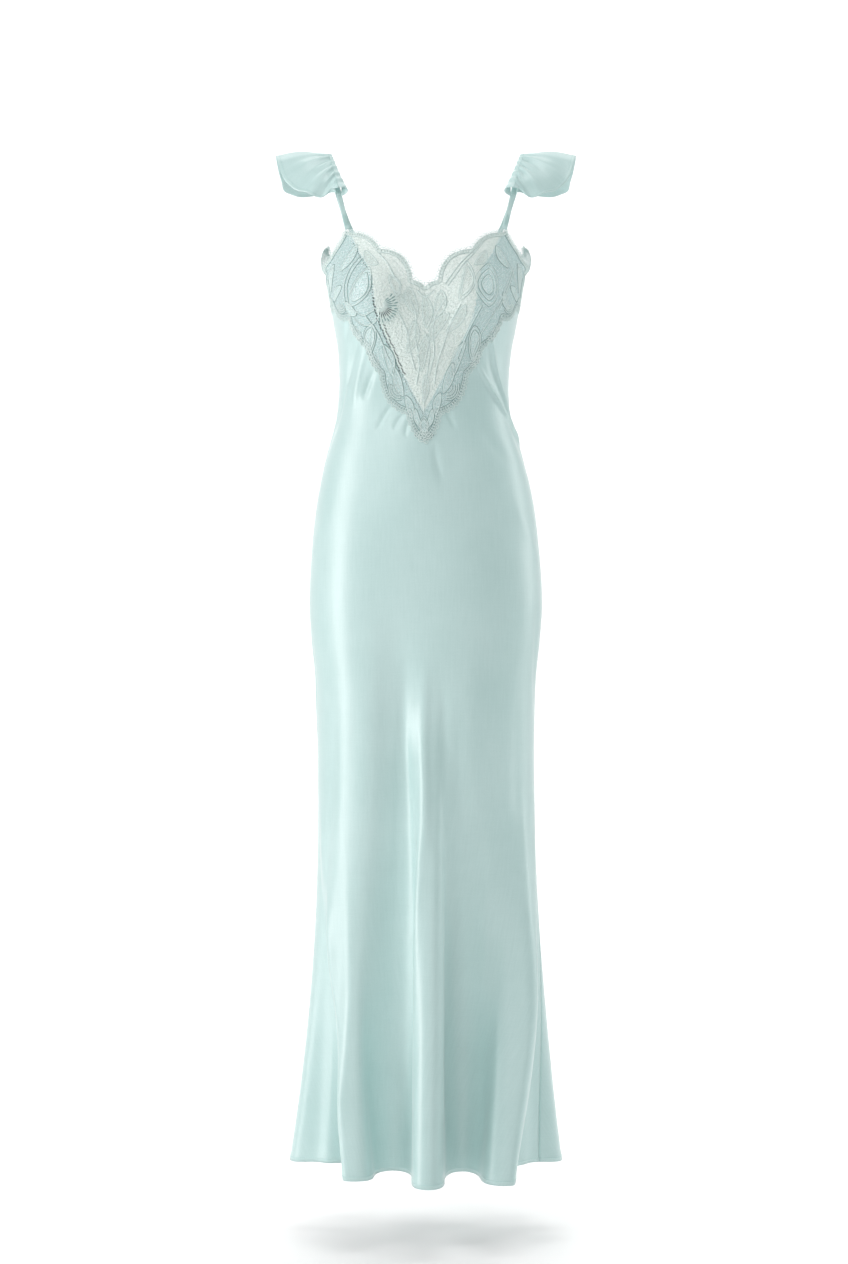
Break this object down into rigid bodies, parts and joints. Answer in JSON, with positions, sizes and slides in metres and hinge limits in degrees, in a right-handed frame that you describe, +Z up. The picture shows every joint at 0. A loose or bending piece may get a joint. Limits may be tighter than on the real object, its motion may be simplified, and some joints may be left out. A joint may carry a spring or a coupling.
{
  "type": "maxi dress",
  "caption": "Long sleeveless satin dress with a deep V neck filled with lace, narrow straps, flutter shoulder ruffles and a flared folded hem, held at the shoulders.",
  "frame": {"origin": "midway between the tops of the two straps, on the line along which the shoulders carry the dress", "axes": "+Z up, X across the shoulders, the front of the dress faces -Y"},
  "size_m": [0.4116, 0.3238, 1.3843],
  "materials": {
    "satin": "glossy satin weave, pale mint",
    "lace": "matt corded lace on fine net, pale mint"
  },
  "bodies": {
    "root": {"satin_front": "satin", "satin_back": "satin", "lace_front": "lace", "lace_back": "lace", "strap_left": "satin", "strap_right": "satin", "ruffle_left": "satin", "ruffle_right": "satin", "keeper_left": "satin", "keeper_right": "satin"}
  },
  "joints": []
}
